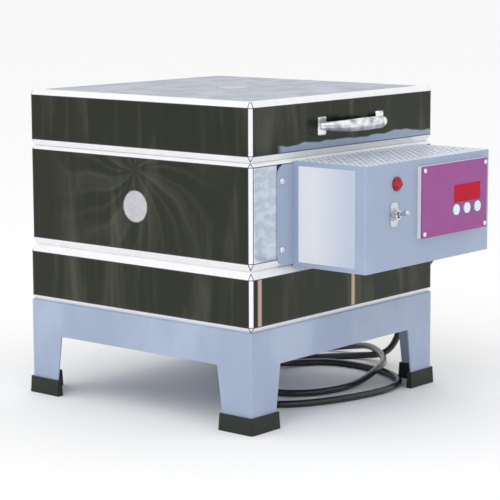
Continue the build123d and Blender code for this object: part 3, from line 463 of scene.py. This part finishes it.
class KILN_OT_cord(bpy.types.Operator):
    """Lay the supply cord from the strain relief to the plug"""

    bl_idname = "kiln.cord"
    bl_label = "Supply cord"

    # Points of the centreline in millimetres from the kiln's axis, as in the part's source
    route = (
        (168, -191.15, 192.9), (195, -191.15, 192.9), (221, -178, 185), (231, -153, 169), (228, -130, 147),
        (219, -114, 119), (208, -103, 89), (203, -96, 58), (208, -84, 30), (221, -57, 9.5), (221, -24, 4.1),
        (197, -2, 4.1), (171, 18, 4.1), (154, 48, 4.1), (122, 71, 4.1), (82, 61, 4.1), (43, 27, 4.1),
        (5, -9, 4.1), (-14, -52, 4.1), (4, -97, 4.1), (50, -116, 4.1), (98, -113, 4.6), (142, -107, 12.8),
        (178, -90, 13.8), (205, -63, 16), (229, -29, 16), (243, 4, 9), (236, 34, 4.3), (208, 68, 4.1),
        (168, 98, 4.1), (126, 105, 4.1), (79, 78, 4.1), (25, 29, 4.1), (-31, -20, 4.1), (-61, -56, 4.1),
        (-60, -100, 4.1), (-27, -131, 4.1), (28, -152, 4.1), (86, -161, 4.1), (132, -148, 4.1),
        (160, -110, 4.1), (171, -60, 4.1), (166, -14, 4.1), (134, 13, 4.1), (104, 21, 6.5), (82, 17, 11),
        (63, 4.5, 11),
    )

    def execute(self, context):
        settings = context.scene.kiln_cord
        colours = context.scene.kiln_colours
        curve = bpy.data.curves.new("supply_cord", "CURVE")
        curve.dimensions = "3D"
        curve.bevel_depth = settings.diameter / 2
        curve.bevel_resolution = 5
        curve.resolution_u = 10
        curve.use_fill_caps = True
        spline = curve.splines.new("NURBS")
        spline.points.add(len(self.route) - 1)
        for point, (across, out, up) in zip(spline.points, self.route):
            point.co = (across * MM, out * MM + AXIS_Y, up * MM, 1)
        spline.order_u = 3
        spline.use_endpoint_u = True
        cord = bpy.data.objects.new("supply_cord", curve)
        context.scene.collection.objects.link(cord)

        jacket = Finish("cord_vinyl", Roughness=0.26, Specular_IOR_Level=0.6)
        grain = jacket.noise(900, detail=2)
        jacket.surface(Base_Color=jacket.mix(colours.cord, shade(colours.cord, 1.8), grain))
        curve.materials.append(jacket.material)
        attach(cord, "kiln")
        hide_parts("power_cord")
        paint(jacket.material, "plug_body", "cord_strain_relief")
        blade = Finish("plug_brass", Metallic=1.0, Roughness=0.3)
        blade.surface(Base_Color=blade.mix((0.75, 0.60, 0.32), (0.55, 0.42, 0.20), blade.noise(400)))
        paint(blade.material, "plug_blades")
        return {"FINISHED"}


class KILN_OT_jackets(bpy.types.Operator):
    """Finish the three polished steel jackets"""

    bl_idname = "kiln.jackets"
    bl_label = "Steel jackets"

    # Height of the fold at the bottom and at the top of each jacket
    folds = {
        "lid_jacket": (6.9 * MM, 5.7 * MM),
        "chamber_jacket": (8.6 * MM, 3.6 * MM),
        "floor_jacket": (4.9 * MM, 7.3 * MM),
    }
    # Width of the pale corners of painted highlight, width of the dark lines of painted shade beside the
    # folds, and softness of their edges
    corner = 4.0 * MM
    line = 0.9 * MM
    soft = 0.3 * MM
    # Softness of the edges of reflections
    blur = 1.0 * MM
    # The box's top as a painted reflection in the lid's front: its height, its wavy edge and its fade at the
    # left end
    mirrored_height = 15.0 * MM
    mirrored_wave = 9.0 * MM
    mirrored_fade = 10.0 * MM
    # Upright glints painted into the front of the floor's jacket as painted reflections, as distances from
    # the axis
    glints = (-153.0 * MM, 10.0 * MM)
    glint_width = 6.0 * MM
    # Streaks fan out from this far above the peephole, and fade from the second distance to the first
    fan_rise = 40.0 * MM
    fan_fade = (0.17, 0.03)

    def execute(self, context):
        for name, (bottom, top) in self.folds.items():
            paint(self.polished(context.scene.kiln_colours, name, bottom, top), name)
        return {"FINISHED"}

    def polished(self, colours, name, bottom, top):
        low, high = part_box(name)
        steel = Finish(name + "_steel")
        # Painted reflections: long pale streaks painted into the sheets' colour run up and down them
        streaks = steel.noise(26, stretch=(1, 1, 0.16), detail=4, roughness=0.55, twist=0.5)
        fine = steel.noise(90, stretch=(1, 1, 0.05), detail=2)
        painted_reflection = steel.step(streaks, 0.50, 0.72) * 0.7 + steel.step(fine, 0.55, 0.8) * 0.3
        # On the chamber, curved streaks of painted reflection are added
        if name == "chamber_jacket":
            painted_reflection = lowest(painted_reflection * 0.8 + self.swirl(steel) * 0.55, 1.0)
        # The sheets' colour: the painted dark reflection of the room, with the painted streaks over it
        sheet = steel.mix(colours.steel, colours.steel_painted_reflection, painted_reflection)
        front = steel.step(steel.facing_y, -0.6, -0.9)
        if name == "lid_jacket":
            # Painted reflection of the box's top, in the paint's colour, along the bottom of the lid's front
            wave = (steel.noise(16, stretch=(1, 0, 0), detail=2) - 0.5) * (2 * self.mirrored_wave)
            below = steel.step(steel.z - low.z - (self.mirrored_height + wave), self.blur, -self.blur)
            beside = steel.step(steel.x, BOX_LOW.x, BOX_LOW.x + self.mirrored_fade)
            sheet = steel.mix(sheet, colours.paint, front * below * beside * 0.85)
        elif name == "chamber_jacket":
            # Painted reflection: the box's left side, mirrored beside its flange
            shown = front * steel.step(steel.x, BOX_LOW.x + self.blur, BOX_LOW.x - self.blur)
            mirrored_mottle = steel.step(steel.noise(70, stretch=(1, 1, 1.6), detail=3), 0.42, 0.58)
            sheet = steel.mix(sheet, colours.mirrored, shown * (0.80 + 0.18 * mirrored_mottle))
        else:
            # Painted reflections: warm upright glints on the floor's jacket
            half = self.glint_width / 2
            for place in self.glints:
                glint = steel.band(steel.x - AXIS_X, place - half, place + half, self.blur)
                sheet = steel.mix(sheet, colours.glint, front * glint)

        # Painted highlight: the folds and the round corners face the lamp and are painted pale
        up = steel.z - low.z
        down = high.z - steel.z
        at_bottom = steel.step(up, bottom + self.soft, bottom - self.soft)
        at_top = steel.step(down, top + self.soft, top - self.soft)
        fold = highest(at_bottom, at_top)
        side = high.x - AXIS_X - abs(steel.x - AXIS_X)
        deep = high.y - AXIS_Y - abs(steel.y - AXIS_Y)
        reach = highest(side, deep)
        at_corner = steel.step(reach, self.corner + self.soft, self.corner - self.soft)
        # Dark lines of painted shade along the creases beside the folds and the corners
        bottom_line = steel.band(up, bottom, bottom + self.line, self.soft)
        top_line = steel.band(down, top, top + self.line, self.soft)
        corner_line = steel.band(reach, self.corner, self.corner + self.line, self.soft)
        crease_shade_mask = highest(highest(bottom_line, top_line), corner_line)
        mottle = steel.noise(60, stretch=(1, 1, 2), detail=3)
        pale = steel.mix(colours.fold, shade(colours.fold, 0.84), mottle)
        # Where the painted highlight lies: on the folds and the round corners
        bright = highest(fold, at_corner)
        colour = steel.mix(steel.mix(sheet, pale, bright), colours.outline, crease_shade_mask)
        steel.surface(Base_Color=colour, Roughness=0.16 + 0.3 * fold, Metallic=0.75 - 0.45 * bright)
        return steel.material

    def swirl(self, steel):
        """Curved streaks of painted reflection that fan out from above the peephole."""
        along = steel.y - PEEPHOLE.y
        above = steel.z - (PEEPHOLE.z + self.fan_rise)
        angle = along.combine("ARCTAN2", along, above)
        away = (along * along + above * above) ** 0.5
        curl = steel.noise(14, detail=2) * 5
        wide = sine(angle * 8 + away * 40 + curl)
        narrow = sine(angle * 23 + away * 90 + curl * 2)
        streak = steel.step(wide, -0.2, 1.0) * 0.55 + steel.step(narrow, 0.3, 1.0) * 0.45
        left = steel.step(steel.facing_x, -0.6, -0.9)
        return streak * left * steel.step(away, *self.fan_fade)


class KILN_OT_brickwork(bpy.types.Operator):
    """Finish the firebrick slabs, the chamber walls and the two plugs"""

    bl_idname = "kiln.brickwork"
    bl_label = "Brickwork"

    def execute(self, context):
        colours = context.scene.kiln_colours
        faces = {
            "brick_face": (colours.brick, ["floor_slab", *nodes_of("wall_brick")]),
            "lid_face": (colours.lid_brick, ["lid_slab"]),
            "plug_face": (colours.plug, ["vent_plug", "peephole_plug"]),
        }
        for name, (base, nodes) in faces.items():
            brick = Finish(name, Roughness=0.92, Specular_IOR_Level=0.2)
            clouds = brick.noise(28, detail=5, roughness=0.62)
            pores = brick.step(brick.noise(420, detail=2), 0.62, 0.70)
            tone = brick.mix(shade(base, 0.82), base, brick.step(clouds, 0.35, 0.65))
            tone = brick.mix(tone, shade(base, 0.55), pores)
            brick.surface(Base_Color=tone, Normal=brick.bump(brick.noise(420, detail=3), 0.6 * MM, 0.5))
            paint(brick.material, *nodes)
        return {"FINISHED"}


class KILN_OT_stand(bpy.types.Operator):
    """Finish the deck, the aprons, the legs and their rubber boots"""

    bl_idname = "kiln.stand"
    bl_label = "Stand"

    def execute(self, context):
        colours = context.scene.kiln_colours
        sheet = Finish("stand_paint", Roughness=0.42, Specular_IOR_Level=0.35)
        # The paint mixed in random clouds with its lit copy: painted light
        clouds = sheet.noise(14, stretch=(1, 1, 0.6), detail=3)
        sheet.surface(Base_Color=sheet.mix(colours.paint, colours.paint_light, sheet.step(clouds, 0.4, 0.7)))
        paint(sheet.material, "deck_plate", *nodes_of("stand_leg", "stand_apron"))

        boot = Finish("boot_rubber", Roughness=0.55, Specular_IOR_Level=0.3)
        grain = boot.noise(300, detail=3)
        boot.surface(
            Base_Color=boot.mix(colours.rubber, shade(colours.rubber, 2.2), grain),
            Normal=boot.bump(grain, 0.2 * MM, 0.3),
        )
        paint(boot.material, *nodes_of("leg_boot"))
        return {"FINISHED"}


class KILN_OT_control_box(bpy.types.Operator):
    """Finish the sheet steel box and add the bare label on its left side"""

    bl_idname = "kiln.control_box"
    bl_label = "Control box"

    # The bare label's distance from the chamber, from the front and from the other edges, and its thickness
    label_near = 8.0 * MM
    label_far = 14.0 * MM
    label_margin = 5.0 * MM
    label_sheet = 0.3 * MM
    # Two neighbouring dots of the perforated top are half of this apart
    dot_pitch = 8.8 * MM

    def execute(self, context):
        colours = context.scene.kiln_colours
        sheet = Finish("box_paint", Roughness=0.42, Specular_IOR_Level=0.35)
        # The box's sides mixed in random clouds with the lit copy of the paint: painted light
        clouds = sheet.noise(9, stretch=(1, 1, 1.6), detail=2)
        side = sheet.mix(colours.paint, colours.paint_light, sheet.step(clouds, 0.45, 0.75) * 0.5)
        # The top is perforated all over: fine dots between the rows of larger holes. The dots are painted
        # dark, as painted shade inside the holes
        turns = 2 * pi / self.dot_pitch
        dots = sine(sheet.x * turns) * sine(sheet.y * turns)
        top = sheet.mix((0.66, 0.71, 0.79), (0.30, 0.34, 0.42), sheet.step(dots, 0.35, 0.6))
        sheet.surface(Base_Color=sheet.mix(side, top, sheet.step(sheet.facing_z, 0.7, 0.95)))
        paint(sheet.material, "control_box")

        card = Finish("bare_label", Roughness=0.45)
        pale = card.step(card.y, BOX_HIGH.y - self.label_near, BOX_LOW.y + self.label_far)
        card.surface(Base_Color=card.mix((0.80, 0.82, 0.86), colours.paint_light, pale * 0.8))
        piece("box_label", self.label, card.material, "kiln")
        return {"FINISHED"}

    def label(self, drawing):
        """A bare rectangular label with a small bevel."""
        front, back = BOX_LOW.y + self.label_far, BOX_HIGH.y - self.label_near
        low = Vector((BODY_LEFT - self.label_sheet, front, BOX_LOW.z + self.label_margin))
        high = Vector((BODY_LEFT, back, BOX_HIGH.z - self.label_margin))
        place = Matrix.LocRotScale((low + high) / 2, None, high - low)
        bmesh.ops.create_cube(drawing, size=1, matrix=place)
        bevel = self.label_sheet / 3
        bmesh.ops.bevel(drawing, geom=drawing.edges[:], offset=bevel, segments=2, affect="EDGES")


class KILN_OT_controller(bpy.types.Operator):
    """Finish the controller's frame, face, display and keys"""

    bl_idname = "kiln.controller"
    bl_label = "Controller"

    def execute(self, context):
        colours = context.scene.kiln_colours
        trim = Finish("panel_trim", Roughness=0.4)
        trim.surface(Base_Color=trim.mix((0.80, 0.80, 0.82), (0.70, 0.70, 0.74), trim.noise(40)))
        paint(trim.material, "panel_frame")

        face = Finish("panel_face", Roughness=0.38, Specular_IOR_Level=0.3)
        grain = face.noise(60, detail=2)
        face.surface(Base_Color=face.mix(colours.panel, shade(colours.panel, 1.25), grain))
        paint(face.material, "panel_plate")

        window = Finish("display_window", Roughness=0.25, Specular_IOR_Level=0.1)
        blush = window.noise(24, detail=2)
        window.surface(Base_Color=window.mix(colours.display, shade(colours.display, 0.75), blush))
        paint(window.material, "display_window")

        key = Finish("key_caps", Roughness=0.35)
        key.surface(Base_Color=key.mix(colours.key, shade(colours.key, 0.85), key.noise(200)))
        paint(key.material, *nodes_of("button_"))
        return {"FINISHED"}


class KILN_OT_switch(bpy.types.Operator):
    """Finish the toggle switch and the pilot lamp"""

    bl_idname = "kiln.switch"
    bl_label = "Switch and lamp"

    def execute(self, context):
        colours = context.scene.kiln_colours
        lens = Finish("lamp_lens", Roughness=0.08, Specular_IOR_Level=0.4)
        depth = lens.step(lens.noise(260, detail=2), 0.35, 0.65)
        lens.surface(Base_Color=lens.mix(shade(colours.lamp, 0.4), colours.lamp, depth))
        paint(lens.material, "pilot_lens")

        case = Finish("switch_case", Roughness=0.5)
        case.surface(Base_Color=case.mix((0.03, 0.03, 0.03), (0.06, 0.05, 0.05), case.noise(200)))
        paint(case.material, "pilot_body")

        bright = Finish("switch_bright", Metallic=1.0, Roughness=0.2)
        bright.surface(Base_Color=bright.mix((0.75, 0.75, 0.78), (0.55, 0.55, 0.60), bright.noise(300)))
        paint(bright.material, "switch_body", "switch_plate", "switch_nut", "switch_lever")
        return {"FINISHED"}


class KILN_OT_handle(bpy.types.Operator):
    """Finish the lid handle and the rear hinge"""

    bl_idname = "kiln.handle"
    bl_label = "Handle and hinge"

    def execute(self, context):
        casting = Finish("handle_casting", Metallic=1.0)
        # Painted reflections: dark and bright patches in the metal's colour stand for what the polished
        # casting mirrors
        painted_reflection_patches = casting.noise(55, stretch=(1, 1, 1.5), detail=2)
        casting.surface(
            Base_Color=casting.mix((0.30, 0.32, 0.35), (0.90, 0.91, 0.93), casting.step(painted_reflection_patches, 0.34, 0.60)),
            Roughness=0.12 + casting.noise(300) * 0.12,
        )
        paint(casting.material, "lid_handle")

        steel = Finish("hinge_steel", Metallic=1.0)
        brushed = steel.noise(160, stretch=(0.05, 1, 1), detail=2)
        tone = steel.mix((0.52, 0.52, 0.54), (0.66, 0.66, 0.68), brushed)
        steel.surface(Base_Color=tone, Roughness=0.25 + brushed * 0.15)
        paint(steel.material, *nodes_of("hinge_"))
        return {"FINISHED"}


class KILN_OT_fasteners(bpy.types.Operator):
    """Finish the screws"""

    bl_idname = "kiln.fasteners"
    bl_label = "Screws"

    def execute(self, context):
        zinc = Finish("screw_zinc", Metallic=0.9)
        grain = zinc.noise(500, detail=2)
        tone = zinc.mix((0.70, 0.72, 0.78), (0.92, 0.93, 0.96), grain)
        zinc.surface(Base_Color=tone, Roughness=0.2 + grain * 0.15)
        screws = [name for name in sorted(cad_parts) if name.endswith("_screws")]
        paint(zinc.material, *screws)
        return {"FINISHED"}


class KILN_OT_electrics(bpy.types.Operator):
    """Finish the heating elements and the parts inside the control box"""

    bl_idname = "kiln.electrics"
    bl_label = "Electrics"

    # Each finish as its nodes, two colours, roughness and metallic
    finishes = {
        "element_wire": (
            ("upper_element", "lower_element"), (0.16, 0.15, 0.14), (0.26, 0.24, 0.22), 0.45, 0.9,
        ),
        "bushing_ceramic": (("element_bushings",), (0.80, 0.78, 0.72), (0.70, 0.68, 0.62), 0.6, 0.0),
        "terminal_brass": (("element_terminals",), (0.72, 0.56, 0.28), (0.60, 0.45, 0.20), 0.3, 1.0),
        "probe_ceramic": (("thermocouple",), (0.76, 0.74, 0.68), (0.62, 0.60, 0.55), 0.55, 0.0),
        "board_resin": (("control_board",), (0.02, 0.13, 0.05), (0.03, 0.18, 0.07), 0.4, 0.0),
        "relay_case": (("relay",), (0.03, 0.03, 0.035), (0.05, 0.05, 0.055), 0.4, 0.0),
        "core_steel": (("transformer",), (0.30, 0.28, 0.26), (0.40, 0.38, 0.36), 0.45, 0.8),
        "block_resin": (("terminal_block",), (0.70, 0.66, 0.55), (0.62, 0.58, 0.48), 0.45, 0.0),
        "wire_sleeve": (("wiring",), (0.62, 0.60, 0.56), (0.50, 0.48, 0.44), 0.5, 0.0),
    }

    def execute(self, context):
        for name, (nodes, first, second, roughness, metallic) in self.finishes.items():
            finish = Finish(name, Roughness=roughness, Metallic=metallic)
            finish.surface(Base_Color=finish.mix(first, second, finish.noise(180, detail=3)))
            paint(finish.material, *nodes)
        return {"FINISHED"}


OPERATORS = (
    KILN_OT_stage,
    KILN_OT_cord,
    KILN_OT_jackets,
    KILN_OT_brickwork,
    KILN_OT_stand,
    KILN_OT_control_box,
    KILN_OT_controller,
    KILN_OT_switch,
    KILN_OT_handle,
    KILN_OT_fasteners,
    KILN_OT_electrics,
)


class KILN_PT_build(bpy.types.Panel):
    """Lists the operators in the order in which they build the scene"""

    bl_label = "Kiln"
    bl_idname = "KILN_PT_build"
    bl_space_type = "VIEW_3D"
    bl_region_type = "UI"
    bl_category = "Kiln"

    def draw(self, context):
        for operator in OPERATORS:
            self.layout.operator(operator.bl_idname)


def register():
    for settings in SETTINGS.values():
        bpy.utils.register_class(settings)
    for name, settings in SETTINGS.items():
        setattr(bpy.types.Scene, name, bpy.props.PointerProperty(type=settings))
    for operator in OPERATORS:
        bpy.utils.register_class(operator)
    bpy.utils.register_class(KILN_PT_build)


def unregister():
    bpy.utils.unregister_class(KILN_PT_build)
    for operator in reversed(OPERATORS):
        bpy.utils.unregister_class(operator)
    for name in SETTINGS:
        delattr(bpy.types.Scene, name)
    for settings in SETTINGS.values():
        bpy.utils.unregister_class(settings)


def main():
    register()
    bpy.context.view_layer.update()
    for operator in OPERATORS:
        group, call = operator.bl_idname.split(".")
        if getattr(getattr(bpy.ops, group), call)() != {"FINISHED"}:
            raise RuntimeError(operator.bl_label + " could not be finished")


if __name__ == "__main__":
    main()
